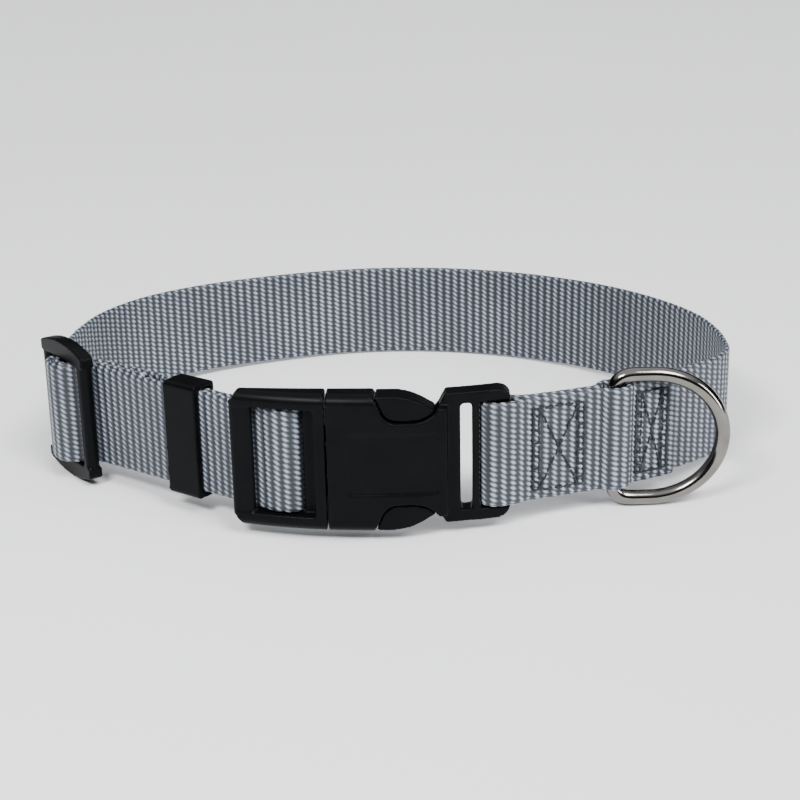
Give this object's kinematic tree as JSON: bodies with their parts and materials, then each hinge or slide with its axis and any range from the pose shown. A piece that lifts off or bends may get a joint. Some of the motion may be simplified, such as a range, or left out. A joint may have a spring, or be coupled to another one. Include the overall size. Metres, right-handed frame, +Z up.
{
  "type": "dog collar",
  "caption": "Adjustable dog collar: woven strap loop with a side-release buckle, a slider, a keeper and a D-ring sewn into a pocket beside the buckle.",
  "frame": {"origin": "middle of the bounding box in plan, on the surface that the collar stands on", "axes": "+Z is up across the strap, the buckle is at the front towards -Y with its length along X, and the D-ring is at the front right towards +X"},
  "size_m": [0.1694, 0.123, 0.0352],
  "materials": {
    "webbing": "ribbed nylon webbing, pale blue-grey, slight sheen",
    "plastic": "black moulded acetal, satin",
    "nickel": "nickel-plated welded steel, polished"
  },
  "bodies": {
    "collar": {"strap": "webbing", "buckle_female": "plastic", "buckle_male": "plastic", "slider": "plastic", "keeper": "plastic"},
    "ring": {"d_ring": "nickel"}
  },
  "joints": [
    {"name": "ring_hinge", "type": "hinge", "parent": "collar", "child": "ring", "pos_m": [0.05395, -0.04201, 0.01698], "axis": [-0.0067, -0.0524, -0.9986], "range_deg": [0, 135]}
  ]
}
